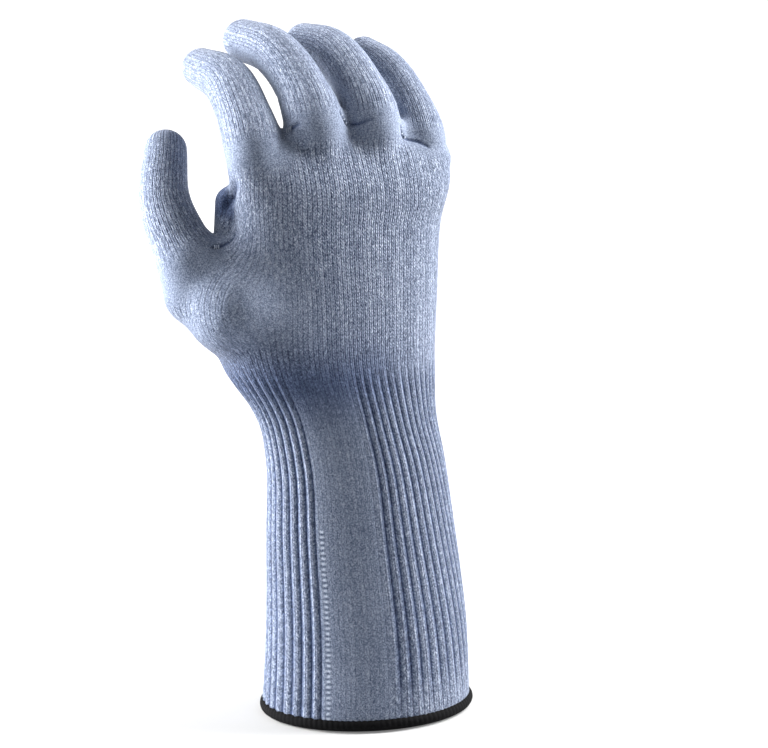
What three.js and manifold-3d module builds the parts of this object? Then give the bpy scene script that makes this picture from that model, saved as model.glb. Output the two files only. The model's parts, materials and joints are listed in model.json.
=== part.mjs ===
// A knitted cut resistant glove for the right hand, with a long ribbed cuff, in the shape that it
// keeps on a hand: fingers gently curled, thumb apart. It stands on its hem.
// Millimetres, +Z up the forearm, -X to the thumb side, -Y to the back of the hand. The origin is
// the centre of the cuff's mouth, on the plane that the hem rests on.
// Knitted tubes bend where they fold, so each tube is split there. At a fold the two tubes have
// facing notches, and a bulb on the next tube turns inside the one before, so the wall stays
// covered as the fold moves.

import * as THREE from "three";
import { ConvexGeometry } from "three/addons/geometries/ConvexGeometry.js";
import { mergeVertices } from "three/addons/utils/BufferGeometryUtils.js";
import Module from "manifold-3d";

const wasm = await Module();
wasm.setup();

// ---------- driving dimensions ----------
const FABRIC = 1.8; // wall of the knitted tubes
const BULB_WALL = 1.5;
const SEAM_GAP = 0.3; // between sections that belong to one body
const FOLD_GAP = 0.5; // between a bulb and the tube that it turns in
const FOLD_MARGIN = 0.6; // between two tube ends when a fold is closed
const NECK_TAPER = 6; // length over which a bulb's throat widens into its tube
const ROUND = 14; // sides of a digit's tube
const CUFF_ROUND = 28; // sides of the cuff and of the palm

const HEM_HEIGHT = 4.2;
const HEM_PROUD = 0.9; // how far the binding stands out from the cuff on each side
const WRIST_Z = 118; // height of the line where the wrist bends
const RIB_TOP_Z = 137; // where the ribbed cuff becomes plain palm
const THUMB_FORK_Z = 196; // where the thumb has left the palm
const PALM_TOP_Z = 228;

// Sections of the cuff and palm: height, centre (x, y), half-width, half-depth, squareness.
const SECTIONS = [
  { z: 0, x: 1.5, y: 0, a: 42.6, b: 37, n: 2 },
  { z: 32, x: 1.3, y: 0, a: 41.2, b: 34.5, n: 2 },
  { z: 72, x: -1.5, y: 0, a: 38.8, b: 30, n: 2 },
  { z: 102, x: -4, y: 0, a: 36.4, b: 26.8, n: 2 },
  { z: 118, x: -7, y: 0, a: 36.5, b: 25, n: 2 },
  { z: 137, x: -10, y: 1, a: 39.5, b: 23, n: 2.2 },
  { z: 165, x: -9.5, y: 2, a: 41, b: 20.5, n: 2.4 },
  { z: 192, x: -10, y: 3, a: 44, b: 19, n: 2.5 },
  { z: 212, x: -9, y: 3, a: 46, b: 16, n: 2.6 },
  { z: 221, x: -8, y: 3, a: 42, b: 11, n: 2.2 },
  { z: PALM_TOP_Z, x: -7, y: 4.5, a: 26, b: 6.5, n: 2.4 },
];

// Each finger's centre line: root inside the palm, middle joint, end joint, centre of the tip.
// The radii belong to the same four points.
const FINGERS = {
  index: {
    line: [[-44.2, 5, 220], [-42.2, 20, 236], [-40.4, 40, 247.5], [-41.4, 57, 251.5]],
    radii: [11.2, 9.8, 9.1, 8.2],
  },
  middle: {
    line: [[-20.2, 1.5, 229], [-19.8, 15, 245], [-20.8, 38, 258.5], [-23, 60, 261.5]],
    radii: [11.4, 10, 9.3, 8.4],
  },
  ring: {
    line: [[4.2, 2, 229.5], [4.8, 16, 246.5], [4.4, 38, 258.5], [2.8, 57, 261]],
    radii: [11.6, 9.8, 9.1, 8.2],
  },
  little: {
    line: [[27.8, 6, 222], [28.4, 18, 239], [27.3, 34, 251], [25.4, 49, 256.5]],
    radii: [10.6, 8.8, 8.1, 7.3],
  },
};
const FORK_HEIGHT = 9; // from a finger's root to its first fold

// The thumb: its first joint, its end joint and the centre of its tip. The palm's skin is drawn
// over the balls of its base: in the palm, at the bulge above the wrist, and in the web.
const THUMB = {
  line: [[-67, 14, 180], [-71.5, 28, 201.6], [-63.5, 42, 220.5]],
  radii: [11.4, 9.4, 8.3],
};
const THUMB_BASE = [
  [vec(-34, 7, 143), 18],
  [vec(-54, 10, 160), 16],
  [vec(-52, 12, 183), 9],
];
const THUMB_ROOT_HEIGHT = 8; // from the thumb's first joint to its first fold

// Turning about these axes closes a digit: a finger bends toward the palm, and the thumb swings
// in front of the palm at its root and bends across it at its end.
const FLEX_AXIS = vec(-1, 0, 0);
const THUMB_ROOT_AXIS = vec(-0.92, 0.22, -0.33).normalize();
const THUMB_END_AXIS = vec(-0.35, 0.78, -0.52).normalize();

// How far each fold turns from the shape above, in degrees: opening, closing.
const RANGE = {
  wrist: [-40, 45],
  root: [-32, 30],
  middle: [-15, 50],
  end: [-15, 25],
  thumbRoot: [-20, 24],
  thumbEnd: [-25, 12],
};

// Where the fork threads lie: between two digits, on the back.
const FORKS = {
  index_middle: [-32, -4.2, 224.8],
  middle_ring: [-8, -4.7, 226.9],
  ring_little: [16.5, -4.1, 224.9],
  thumb: [-59, 2.6, 186.6],
};
const FORK_THREAD = { radius: 0.7, length: 4, lean: vec(0, 0.7, 0.71).normalize() };

// ---------- solids ----------
function vec(x, y, z) {
  return new THREE.Vector3(x, y, z);
}

const direction = (a, b) => b.clone().sub(a).normalize();
const vectors = (line) => line.map((p) => vec(...p));

function solidOf(geometry) {
  const bare = geometry.clone();
  bare.deleteAttribute("normal");
  bare.deleteAttribute("uv");
  const merged = mergeVertices(bare, 1e-4);
  return new wasm.Manifold(
    new wasm.Mesh({
      numProp: 3,
      vertProperties: new Float32Array(merged.attributes.position.array),
      triVerts: new Uint32Array(merged.index.array),
    }),
  );
}

function geometryOf(solid) {
  const mesh = solid.getMesh();
  const geometry = new THREE.BufferGeometry();
  geometry.setAttribute("position", new THREE.BufferAttribute(mesh.vertProperties, 3));
  geometry.setIndex(new THREE.BufferAttribute(mesh.triVerts, 1));
  geometry.computeVertexNormals();
  return geometry;
}

// Lays a shape's own +Y along a direction, with its middle at a point.
function laidAlong(shape, point, along) {
  const turn = new THREE.Quaternion().setFromUnitVectors(vec(0, 1, 0), along);
  return shape.applyMatrix4(new THREE.Matrix4().compose(point, turn, vec(1, 1, 1)));
}

// Everything on the side of a plane that its normal points to.
function beyond(point, normal, reach = 200) {
  const block = new THREE.BoxGeometry(2 * reach, 2 * reach, 2 * reach);
  return solidOf(laidAlong(block, point.clone().addScaledVector(normal, reach), normal));
}

const above = (z) => beyond(vec(0, 0, z), vec(0, 0, 1), 400);
const below = (z) => beyond(vec(0, 0, z), vec(0, 0, -1), 400);

// A solid turned about a line from a point: the profile's pairs are [radius, distance along].
function turned(from, along, profile) {
  const shape = new THREE.LatheGeometry(profile.map((p) => new THREE.Vector2(...p)), ROUND);
  return solidOf(laidAlong(shape, from, along));
}

// A cone between two points, longer by the given amounts at its ends at the same taper.
function cone(from, to, rFrom, rTo, before = 0, after = 0) {
  const length = from.distanceTo(to);
  const taper = (rTo - rFrom) / length;
  return turned(from, direction(from, to), [
    [0, -before],
    [rFrom - taper * before, -before],
    [rTo + taper * after, length + after],
    [0, length + after],
  ]);
}

// The last points of a profile that ends in a dome.
function dome(radius, height) {
  return [0, 22.5, 45, 67.5, 90].map((angle) => {
    const a = THREE.MathUtils.degToRad(angle);
    return [angle === 90 ? 0 : radius * Math.cos(a), height + radius * Math.sin(a)];
  });
}

// A ball, stretched along an axis.
function ball(centre, radius, axis = vec(0, 0, 1), stretch = 1, sides = 12) {
  const shape = new THREE.SphereGeometry(radius, sides, Math.round(sides / 2));
  return solidOf(laidAlong(shape.scale(1, stretch, 1), centre, axis));
}

// The tight skin around several balls, each a centre and a radius.
function wrapped(balls) {
  const points = balls.flatMap(([centre, radius]) => {
    const shape = new THREE.SphereGeometry(radius, 14, 8).translate(...centre.toArray());
    const at = shape.attributes.position;
    return Array.from({ length: at.count }, (_, k) => vec(0, 0, 0).fromBufferAttribute(at, k));
  });
  return solidOf(new ConvexGeometry(points));
}

// The section of the cuff or palm at any height.
function sectionAt(z) {
  const k = Math.max(1, SECTIONS.findIndex((s) => s.z >= z));
  const [low, high] = [SECTIONS[k - 1], SECTIONS[k]];
  const t = (z - low.z) / (high.z - low.z);
  const mix = (key) => low[key] * (1 - t) + high[key] * t;
  return { z, x: mix("x"), y: mix("y"), a: mix("a"), b: mix("b"), n: mix("n") };
}

// A closed solid through rings, each a section and how far it is drawn in.
function skin(rings, sides = CUFF_ROUND) {
  const points = [];
  const bow = (value, power) => Math.sign(value) * Math.abs(value) ** power;
  for (const [s, inset] of rings) {
    for (let k = 0; k < sides; k++) {
      const angle = (2 * Math.PI * k) / sides;
      const x = s.x + (s.a - inset) * bow(Math.cos(angle), 2 / s.n);
      const y = s.y + (s.b - inset) * bow(Math.sin(angle), 2 / s.n);
      points.push(x, y, s.z);
    }
  }
  const faces = [];
  const last = (rings.length - 1) * sides;
  for (let low = 0; low < last; low += sides) {
    for (let k = 0; k < sides; k++) {
      const [a, b] = [low + k, low + ((k + 1) % sides)];
      faces.push(a, b, a + sides, b, b + sides, a + sides);
    }
  }
  for (let k = 1; k + 1 < sides; k++) {
    faces.push(0, k + 1, k);
    faces.push(last, last + k, last + k + 1);
  }
  const geometry = new THREE.BufferGeometry();
  geometry.setAttribute("position", new THREE.Float32BufferAttribute(points, 3));
  geometry.setIndex(faces);
  return solidOf(geometry);
}

// A closed solid through the listed sections from one height to another.
function loft(zLow, zHigh, inset = 0) {
  const between = SECTIONS.filter((s) => s.z > zLow + 1 && s.z < zHigh - 1);
  return skin([sectionAt(zLow), ...between, sectionAt(zHigh)].map((s) => [s, inset]));
}

// ---------- folds ----------
// A fold: its centre, its axis, the directions of the tubes that meet there, its range, and the
// radius of its bulb with the stretch along the axis. The two tube ends meet face to face, less
// the margin, when the fold reaches a limit.
function fold(centre, axis, before, after, [open, close], radius, stretch = 1, sides = 12) {
  const radians = THREE.MathUtils.degToRad;
  const middle = before.clone().add(after).normalize();
  const facingAt = (degrees) => middle.clone().applyAxisAngle(axis, radians(degrees));
  const cut = (solid, degrees, side) => {
    const normal = facingAt(degrees).multiplyScalar(side);
    return solid.subtract(beyond(centre.clone().addScaledVector(normal, -FOLD_MARGIN / 2), normal));
  };
  // The bulb's mouth lies as far round as the fold uncovers on each side.
  const [nearSide, farSide] = [close / 2 - open, close - open / 2];
  const facing = facingAt((nearSide - farSide) / 2).negate();
  const reach = radius * Math.min(0.8, Math.sin(radians((nearSide + farSide) / 2)));
  const neck = radius * Math.sin(radians(Math.max(close, -open) / 2));
  const mouth = centre.clone().addScaledVector(facing, reach);
  return {
    bulb: ball(centre, radius, axis, stretch, sides).subtract(beyond(mouth, facing)),
    mouthRadius: 0.54 * radius,
    neckHeight: neck,
    neckRadius: Math.sqrt((radius - BULB_WALL) ** 2 - neck ** 2),
    endOfBefore: (solid) => cut(cut(solid, close / 2, 1), open / 2, 1),
    startOfAfter: (solid) => cut(cut(solid, -close / 2, -1), -open / 2, -1),
  };
}

// One length of a digit's tube. It starts at a fold, and ends at a fold or in a closed tip.
function tube(from, to, rFrom, rTo, start, end) {
  const along = direction(from, to);
  const length = from.distanceTo(to);
  const radiusAt = (h) => rFrom + ((rTo - rFrom) * h) / length;
  const wide = start.neckHeight + NECK_TAPER;
  const capped = (r, past) => (end ? [[r(length + past), length + past], [0, length + past]]
    : dome(r(length), length));
  const outside = turned(from, along, [[0, -6], [radiusAt(-6), -6], ...capped(radiusAt, 6)]);
  const hollow = turned(from, along, [
    [0, -12],
    [start.mouthRadius, -12],
    [start.mouthRadius, -start.mouthRadius],
    [start.neckRadius, -0.3 * start.mouthRadius],
    [start.neckRadius, start.neckHeight],
    [radiusAt(wide) - FABRIC, wide],
    ...capped((h) => radiusAt(h) - FABRIC, 7),
  ]);
  const solid = start.startOfAfter(outside).add(start.bulb).subtract(hollow);
  return end ? end.endOfBefore(solid) : solid;
}

// ---------- the glove ----------
const glove = new THREE.Group();
glove.name = "cut_resistant_glove";

const knit = new THREE.MeshStandardMaterial({ color: 0x9fadc4, roughness: 0.9, metalness: 0 });
const rib = new THREE.MeshStandardMaterial({ color: 0x8d9dba, roughness: 0.9, metalness: 0 });
const binding = new THREE.MeshStandardMaterial({ color: 0x16171a, roughness: 0.8, metalness: 0 });
const yarn = new THREE.MeshStandardMaterial({ color: 0xdfe4ee, roughness: 0.85, metalness: 0 });

function add(name, solid, material) {
  const mesh = new THREE.Mesh(geometryOf(solid), material);
  mesh.name = name;
  glove.add(mesh);
}

// Makes the tubes of one digit, from its first fold to its tip, and returns that fold.
function digit(name, before, points, radii, axes, ranges, labels) {
  const folds = labels.map((_, k) => {
    const arriving = k === 0 ? before : direction(points[k - 1], points[k]);
    const leaving = direction(points[k], points[k + 1]);
    const bulbRadius = radii[k] - FABRIC - FOLD_GAP;
    return fold(points[k], axes[k], arriving, leaving, ranges[k], bulbRadius);
  });
  labels.forEach((label, k) => {
    const ends = [points[k], points[k + 1], radii[k], radii[k + 1]];
    add(`${name}_${label}`, tube(...ends, folds[k], folds[k + 1]), knit);
  });
  return folds[0];
}

// The wrist's bulb is nearly as wide and as deep as the cuff there.
const cuffEnd = sectionAt(WRIST_Z);
const wristRadius = cuffEnd.b - FABRIC - FOLD_GAP;
const wrist = fold(
  vec(cuffEnd.x, cuffEnd.y, WRIST_Z),
  FLEX_AXIS,
  vec(0, 0, 1),
  vec(0, 0, 1),
  RANGE.wrist,
  wristRadius,
  (cuffEnd.a - FABRIC - FOLD_GAP) / wristRadius,
  24,
);

// The palm gathers the roots of the digits, solid and hollow.
const palmStart = WRIST_Z + wrist.neckHeight + NECK_TAPER;
let outside = loft(WRIST_Z - 16, PALM_TOP_Z);
let hollow = loft(palmStart, PALM_TOP_Z - FABRIC, FABRIC);

// The stump that a digit's first fold turns on.
function addStump(from, to, rFrom, rTo, firstFold) {
  outside = outside.add(firstFold.endOfBefore(cone(from, to, rFrom, rTo, 4, 6)));
  hollow = hollow.add(cone(from, to, rFrom - FABRIC, rTo - FABRIC, 5, 7));
}

for (const [name, { line, radii }] of Object.entries(FINGERS)) {
  const [root, middle, end, tip] = vectors(line);
  const share = FORK_HEIGHT / root.distanceTo(middle);
  const joint = root.clone().lerp(middle, share);
  const rJoint = radii[0] + (radii[1] - radii[0]) * share;
  const ranges = [RANGE.root, RANGE.middle, RANGE.end];
  const [points, sizes] = [[joint, middle, end, tip], [rJoint, ...radii.slice(1)]];
  const before = direction(root, middle);
  const axes = [FLEX_AXIS, FLEX_AXIS, FLEX_AXIS];
  const first = digit(name, before, points, sizes, axes, ranges, ["root", "middle", "tip"]);
  addStump(root, joint, radii[0], rJoint, first);
}

{
  const [knuckle, end, tip] = vectors(THUMB.line);
  const [rKnuckle, rEnd, rTip] = THUMB.radii;
  const share = THUMB_ROOT_HEIGHT / knuckle.distanceTo(end);
  const joint = knuckle.clone().lerp(end, share);
  const rJoint = rKnuckle + (rEnd - rKnuckle) * share;
  const ranges = [RANGE.thumbRoot, RANGE.thumbEnd];
  const [points, sizes] = [[joint, end, tip], [rJoint, rEnd, rTip]];
  const before = direction(knuckle, end);
  const axes = [THUMB_ROOT_AXIS, THUMB_END_AXIS];
  const first = digit("thumb", before, points, sizes, axes, ranges, ["root", "tip"]);
  const base = [...THUMB_BASE, [knuckle, rKnuckle]];
  outside = outside.add(first.endOfBefore(wrapped(base)));
  hollow = hollow.add(wrapped(base.map(([centre, radius]) => [centre, radius - FABRIC])));
  addStump(knuckle, joint, rKnuckle, rJoint, first);
}

// Below the palm's hollow, the wrist narrows to the throat of its bulb.
const throatInset = cuffEnd.b - wrist.neckRadius;
hollow = hollow
  .subtract(below(palmStart - 0.01))
  .add(
    skin([
      [sectionAt(WRIST_Z - wristRadius), cuffEnd.b - wrist.mouthRadius],
      [sectionAt(WRIST_Z - 0.7 * wristRadius), cuffEnd.b - wrist.mouthRadius],
      [sectionAt(WRIST_Z - 0.2 * wristRadius), throatInset],
      [sectionAt(WRIST_Z + wrist.neckHeight), throatInset],
      [sectionAt(palmStart), FABRIC],
    ]),
  );
const palm = wrist.startOfAfter(outside).add(wrist.bulb).subtract(hollow);

add("wrist_rib", palm.subtract(above(RIB_TOP_Z)), rib);
add(
  "five_finger_palm",
  palm.subtract(below(RIB_TOP_Z + SEAM_GAP)).subtract(above(THUMB_FORK_Z)),
  knit,
);
add("four_finger_palm", palm.subtract(below(THUMB_FORK_Z + SEAM_GAP)), knit);

const cuff = loft(HEM_HEIGHT + SEAM_GAP, WRIST_Z + 16).subtract(loft(0, WRIST_Z + 20, FABRIC));
add("forearm_cuff", wrist.endOfBefore(cuff), rib);

// The overlocked edge: a rounded ring with a flat foot.
const hemRings = [
  [0, HEM_PROUD - 0.6],
  [0.8, HEM_PROUD],
  [HEM_HEIGHT - 0.8, HEM_PROUD],
  [HEM_HEIGHT, HEM_PROUD - 0.6],
];
const bead = skin(hemRings.map(([z, proud]) => [sectionAt(z), -proud]));
const mouth = skin([-1, HEM_HEIGHT + 1].map((z) => [sectionAt(z), FABRIC + HEM_PROUD]));
add("hem_binding", bead.subtract(mouth), binding);

for (const [name, place] of Object.entries(FORKS)) {
  const shape = new THREE.CapsuleGeometry(FORK_THREAD.radius, FORK_THREAD.length, 2, 6);
  add(`fork_thread_${name}`, solidOf(laidAlong(shape, vec(...place), FORK_THREAD.lean)), yarn);
}

export default glove;
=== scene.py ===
import json
from math import cos, pi, radians, sin
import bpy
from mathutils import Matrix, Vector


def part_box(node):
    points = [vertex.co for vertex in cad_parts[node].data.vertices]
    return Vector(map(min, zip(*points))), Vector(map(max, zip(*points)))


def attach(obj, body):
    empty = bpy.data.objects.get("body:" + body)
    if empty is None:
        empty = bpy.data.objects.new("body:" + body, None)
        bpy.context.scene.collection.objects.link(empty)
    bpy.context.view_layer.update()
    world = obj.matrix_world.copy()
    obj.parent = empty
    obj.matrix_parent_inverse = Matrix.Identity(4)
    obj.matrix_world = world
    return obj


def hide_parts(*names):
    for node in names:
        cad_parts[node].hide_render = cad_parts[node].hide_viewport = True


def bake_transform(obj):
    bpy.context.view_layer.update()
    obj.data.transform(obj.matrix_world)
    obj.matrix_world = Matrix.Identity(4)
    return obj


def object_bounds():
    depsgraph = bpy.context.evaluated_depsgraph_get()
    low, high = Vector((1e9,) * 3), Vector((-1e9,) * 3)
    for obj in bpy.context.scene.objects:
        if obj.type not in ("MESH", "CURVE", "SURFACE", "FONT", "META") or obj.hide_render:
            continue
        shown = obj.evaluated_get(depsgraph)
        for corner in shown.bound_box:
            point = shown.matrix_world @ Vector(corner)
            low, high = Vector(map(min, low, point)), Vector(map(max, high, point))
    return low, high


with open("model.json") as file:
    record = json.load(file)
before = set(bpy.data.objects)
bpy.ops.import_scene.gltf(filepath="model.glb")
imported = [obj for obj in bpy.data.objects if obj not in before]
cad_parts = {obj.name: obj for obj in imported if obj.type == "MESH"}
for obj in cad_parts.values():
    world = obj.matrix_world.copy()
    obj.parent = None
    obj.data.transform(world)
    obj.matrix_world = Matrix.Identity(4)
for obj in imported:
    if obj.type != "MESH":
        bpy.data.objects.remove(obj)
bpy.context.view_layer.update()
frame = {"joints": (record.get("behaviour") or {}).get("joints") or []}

from types import SimpleNamespace

import bmesh
import bpy
import numpy as np
from mathutils import Vector

# A knitted cut resistant glove: one continuous skin of mixed blue yarn over the frame's bodies.
# The skin is the zero of a distance field: a lofted palm, a rounded thumb base and five tapered
# tubes, melted together. The cuff is a ribbed grid laid on the same field. The skin is cut in
# pieces between the joints: the palm, and one piece round each joint.
# Lengths are in millimetres until a mesh is made. Back of the hand -Y, thumb side -X, fingers up.

MM = 0.001
FABRIC = 1.3  # thickness of the knit
GRID = 1.1  # spacing of the hand's surface
COURSE = 1.3  # height of one row of stitches

# ----- places, from the frame -----


def box(node):
    """A CAD node's lowest and highest corners, in millimetres."""
    return [np.array(corner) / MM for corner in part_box(node)]


JOINTS = {j["name"]: np.array(j["pos_m"]) / MM for j in frame["joints"]}
HEM_TOP = box("hem_binding")[1][2]
RIB_TOP = box("wrist_rib")[1][2]

# ----- the palm and cuff -----

# Height, centre (x, y), half-width, half-depth and squareness of the hand's cross sections.
SECTIONS = np.array([
    (-6, 0.9, 0, 43.0, 37.4, 2.0),
    (0, 0.9, 0, 42.6, 37.0, 2.0),
    (32, 1.0, 0, 41.2, 34.5, 2.0),
    (72, -1.5, 0, 38.8, 30.0, 2.0),
    (102, -4, 0, 36.6, 26.8, 2.0),
    (118, -7, 0, 36.5, 25.0, 2.0),
    (137, -10, 1, 39.5, 23.0, 2.2),
    (165, -9.5, 2, 41.2, 20.5, 2.2),
    (192, -9.2, 3, 43.2, 19.0, 2.2),
    (212, -6.8, 3, 44.8, 16.0, 2.4),
    (221, -7, 3, 43.0, 11.0, 2.2),
    (228, -7, 4.5, 26.0, 6.5, 2.4),
])
PALM_TOP = SECTIONS[-1, 0]
PALM_MELT = 3.0  # how softly the top of the palm is rounded over

# Balls that the skin over the thumb's base is stretched over: centre and radius.
THENAR = [
    ((-30, 6, 134), 14.0),
    ((-37, 7, 146), 18.0),
    ((-54, 5, 163), 16.5),
    ((-53, 6, 174), 9.0),
    ((-66, 14, 167.5), 10.5),
]
# Which balls are joined. The last one, number 5, is the thumb's own root.
THENAR_LINKS = [(0, 1), (1, 2), (2, 3), (2, 4), (2, 5), (3, 5), (4, 5)]
KNUCKLE_RADIUS = 11.2
# Loose cloth under the index finger, and webs on each side of the ring finger's root: their ends,
# the radii there, and how softly they melt into the palm.
INDEX_ROLL = ((-50.5, 13, 188), (-50.5, 13, 202), 7.0, 6.2)
LUMPS = [
    (INDEX_ROLL, 1.5),
    (((-8, 1, 220), (-8, 3.5, 231.5), 4.2, 4.2), 4.0),
    (((16.5, 1, 219), (16.5, 3, 227.5), 4.2, 4.2), 4.0),
]
LINK_MELT = 5.0
THENAR_MELT = 12.0
THENAR_REACH = 75.0  # past this distance the thumb's base isn't felt

# Radii at the root, the two bends and the tip, and the way from the last joint to the tip.
DIGITS = {
    "index": {"radii": (11.2, 10.4, 9.7, 7.9), "tip": (-1.5, 19.0, 4.2)},
    "middle": {"radii": (11.4, 10.0, 9.3, 8.4), "tip": (-2.2, 22.0, 4.0)},
    "ring": {"radii": (11.6, 9.8, 9.1, 8.2), "tip": (-1.6, 19.0, 2.5)},
    "little": {"radii": (10.6, 8.8, 8.1, 7.3), "tip": (-1.9, 15.0, 5.5)},
    "thumb": {"radii": (11.4, 9.9, 8.3), "tip": (6.4, 14.0, 18.9)},
}
ROOT_BELOW_JOINT = {"thumb": 8.0}  # from a digit's root to its first joint
FINGER_ROOT_BELOW_JOINT = 9.0
BASE_BELOW_ROOT = np.array((0.0, -1.0, -12.0))
THUMB_BASE_BELOW_ROOT = np.array((10.0, -6.0, -16.0))
BASE_SLIMMER = 2.0  # how much slimmer a digit's buried base is than its root
FINGER_MELT = 5.0
THUMB_MELT = 2.0
CROTCH_MELT = 0.8  # between neighbouring fingers
REACH = 14.0  # past this distance a digit isn't felt


def through(x, xs, ys):
    """A smooth curve through the points (xs, ys), read at x."""
    slopes = np.gradient(ys, xs, axis=0)
    i = np.clip(np.searchsorted(xs, x) - 1, 0, len(xs) - 2)
    span = xs[i + 1] - xs[i]
    t = np.clip((x - xs[i]) / span, 0, 1)
    if ys.ndim > 1:
        t, span = t[..., None], span[..., None]
    start = (1 + 2 * t) * (1 - t) ** 2 * ys[i] + t * (1 - t) ** 2 * span * slopes[i]
    return start + t * t * (3 - 2 * t) * ys[i + 1] + t * t * (t - 1) * span * slopes[i + 1]


def smooth_step(x, low, high):
    t = np.clip((x - low) / (high - low), 0, 1)
    return t * t * (3 - 2 * t)


def melt(a, b, width):
    """The lower of two distances, rounded where they meet."""
    near = np.clip(width - np.abs(a - b), 0, None) / width
    return np.minimum(a, b) - near * near * width / 4


def section(z):
    rows = through(np.clip(z, SECTIONS[0, 0], PALM_TOP), SECTIONS[:, 0], SECTIONS[:, 1:])
    return [rows[..., k] for k in range(5)]


def loft_distance(p):
    x, y, a, b, n = section(p[:, 2])
    dx, dy = p[:, 0] - x, p[:, 1] - y
    out = (np.abs(dx / a) ** n + np.abs(dy / b) ** n) ** (1 / n)
    length = np.hypot(dx, dy)
    side = np.where(length > 1e-6, length - length / np.maximum(out, 1e-6), -b)
    return -melt(-side, -(p[:, 2] - PALM_TOP), PALM_MELT)


def capsule_distance(p, a, b, ra, rb):
    """Distance to a tapered capsule, and how far along it the nearest point is."""
    a, b = np.asarray(a, float), np.asarray(b, float)
    line = b - a
    t = np.clip((p - a) @ line / (line @ line), 0, 1)
    gap = p - a - t[:, None] * line
    return np.sqrt((gap * gap).sum(1)) - ra - (rb - ra) * t, t


def unit(v):
    """A vector, or each row of an array, made one long."""
    return v / np.linalg.norm(v, axis=-1, keepdims=True)


def run(points):
    """How far along a path each of its points is."""
    return np.concatenate([[0], np.cumsum(np.linalg.norm(np.diff(points, axis=0), axis=1))])


def digit_line(name, count=40):
    """A digit's smooth centre line with its radii, its joints' places along it, and its box."""
    spec = DIGITS[name]
    bends = ["root", "end"] if name == "thumb" else ["root", "middle", "end"]
    joints = [JOINTS[f"{name}_{bend}_bend"] for bend in bends]
    below = ROOT_BELOW_JOINT.get(name, FINGER_ROOT_BELOW_JOINT)
    root = joints[0] - below * unit(joints[1] - joints[0])
    base = root + (THUMB_BASE_BELOW_ROOT if name == "thumb" else BASE_BELOW_ROOT)
    knots = np.array([base, root, *joints[1:], joints[-1] + np.array(spec["tip"])])
    radii = np.array([spec["radii"][0] - BASE_SLIMMER, *spec["radii"]])
    along = run(knots)
    fine = np.linspace(0, along[-1], count)
    points = through(fine, along, knots)
    lengths = run(points)
    line = {
        "points": points,
        "radii": through(fine, along, radii),
        "s": lengths - lengths[np.argmin(np.linalg.norm(points - root, axis=1))],
        "low": points.min(0) - radii.max() - REACH,
        "high": points.max(0) + radii.max() + REACH,
    }
    line["joint_s"] = [place_on(line, joint) for joint in joints]
    return line


def place_on(line, point):
    """How far along a digit's centre line a point is."""
    nearest = np.argmin(np.linalg.norm(line["points"] - point, axis=1))
    low = max(0, nearest - 1)
    high = min(len(line["points"]) - 1, nearest + 1)
    chord = line["points"][high] - line["points"][low]
    t = (point - line["points"][low]) @ chord / (chord @ chord)
    return line["s"][low] + t * (line["s"][high] - line["s"][low])


def point_at(line, s):
    """The point of a digit's centre line at a place along it, or one row for each place."""
    return np.array([np.interp(s, line["s"], line["points"][:, k]) for k in range(3)]).T


def tangent_at(line, s, step=1.5):
    return unit(point_at(line, s + step) - point_at(line, s - step))


LINES = {name: digit_line(name) for name in DIGITS}
FINGERS = ("index", "middle", "ring", "little")


def digit_distance(p, line):
    """Distance to a digit's tube and the place along it, for the points near it."""
    best = np.full(len(p), REACH)
    place = np.full(len(p), line["s"][0])
    near = np.all((p > line["low"]) & (p < line["high"]), axis=1)
    q = p[near]
    d, s = np.full(len(q), REACH), np.full(len(q), line["s"][0])
    points, radii = line["points"], line["radii"]
    for i in range(len(points) - 1):
        gap, t = capsule_distance(q, points[i], points[i + 1], radii[i], radii[i + 1])
        closer = gap < d
        d = np.where(closer, gap, d)
        s = np.where(closer, line["s"][i] + t * (line["s"][i + 1] - line["s"][i]), s)
    best[near], place[near] = d, s
    return best, place


def thenar_distance(p):
    """Distance to the thumb's base, for the points near it."""
    knuckle = (point_at(LINES["thumb"], 0), KNUCKLE_RADIUS)
    balls = THENAR + [knuckle]
    far = np.full(len(p), THENAR_MELT + REACH)
    middle = np.mean([ball[0] for ball in balls], axis=0)
    near = np.linalg.norm(p - middle, axis=1) < THENAR_REACH
    whole = far[near]
    for i, j in THENAR_LINKS:
        d, _ = capsule_distance(p[near], balls[i][0], balls[j][0], balls[i][1], balls[j][1])
        whole = melt(whole, d, LINK_MELT)
    far[near] = whole
    return far


def field(p):
    """Distance from the skin, negative inside."""
    palm = melt(loft_distance(p), thenar_distance(p), THENAR_MELT)
    for lump, width in LUMPS:
        palm = melt(palm, capsule_distance(p, *lump)[0], width)
    palm = melt(palm, digit_distance(p, LINES["thumb"])[0], THUMB_MELT)
    fingers = None
    for name in FINGERS:
        d = digit_distance(p, LINES[name])[0]
        fingers = d if fingers is None else melt(fingers, d, CROTCH_MELT)
    return melt(palm, fingers, FINGER_MELT)


def slope(p, reach=0.4):
    """Gradient of the field."""
    steps = np.eye(3) * reach
    return np.stack([(field(p + step) - field(p - step)) / (2 * reach) for step in steps], 1)


def outward(p):
    return unit(slope(p))


def settle(p, rounds=2, least=0.25):
    """Moves points onto the skin, by short steps where the field is flat."""
    for _ in range(rounds):
        g = slope(p)
        p = p - (field(p) / np.maximum((g * g).sum(1), least))[:, None] * g
    return p


# ----- the hand's surface -----


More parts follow.
